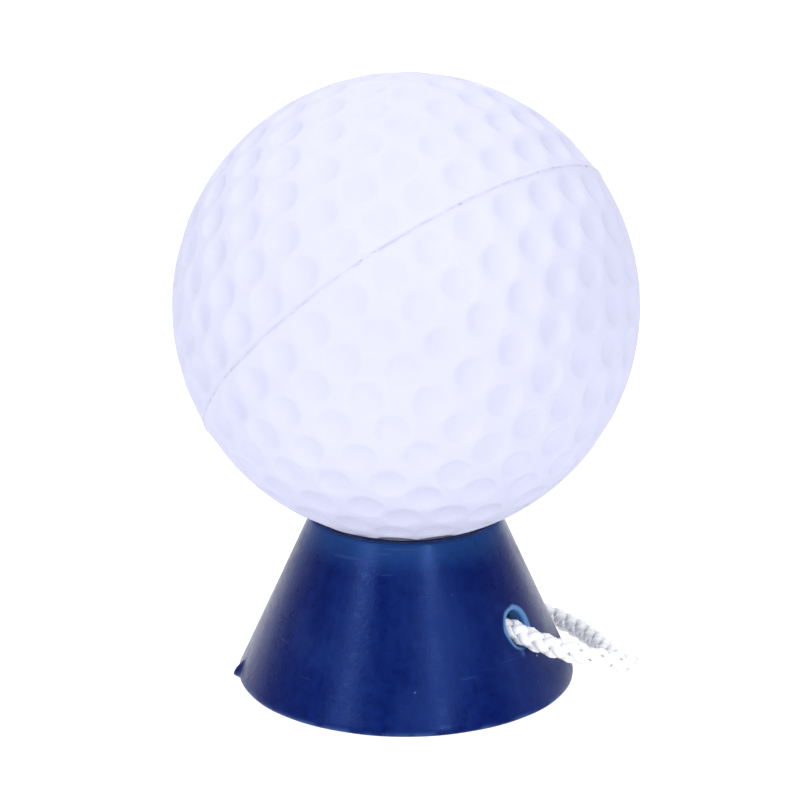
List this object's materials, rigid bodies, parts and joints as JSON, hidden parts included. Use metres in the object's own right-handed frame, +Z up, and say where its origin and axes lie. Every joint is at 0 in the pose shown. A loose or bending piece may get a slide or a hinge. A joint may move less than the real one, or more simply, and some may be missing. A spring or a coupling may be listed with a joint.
{
  "type": "golf tee with practice ball",
  "caption": "Hollow rubber cone tee holding a dimpled foam practice ball in its dished rim, with a braided cord knotted through its wall and coiled behind",
  "frame": {"origin": "centre of the tee's round base, on the surface it stands on", "axes": "+Z up along the axis that the cone and the ball share; -Y is the side the object is seen from; +X is the side the cord leaves towards; the coiled cord lies on +Y"},
  "size_m": [0.0435, 0.0928, 0.0568],
  "materials": {
    "tee_rubber": "satin",
    "ball_foam": "matte",
    "cord_braid": "matte",
    "tie_paper": "matte"
  },
  "bodies": {
    "tee": {"tee_cone": "tee_rubber", "cord": "cord_braid", "stop_knot": "cord_braid", "cord_coil": "cord_braid", "cord_tail": "cord_braid", "end_knot": "cord_braid", "coil_tie": "tie_paper"},
    "ball": {"ball": "ball_foam"}
  },
  "joints": [
    {"name": "ball_lift", "type": "slide", "parent": "tee", "child": "ball", "axis": [0, 0, 1], "range_m": [0, 0.05]}
  ]
}
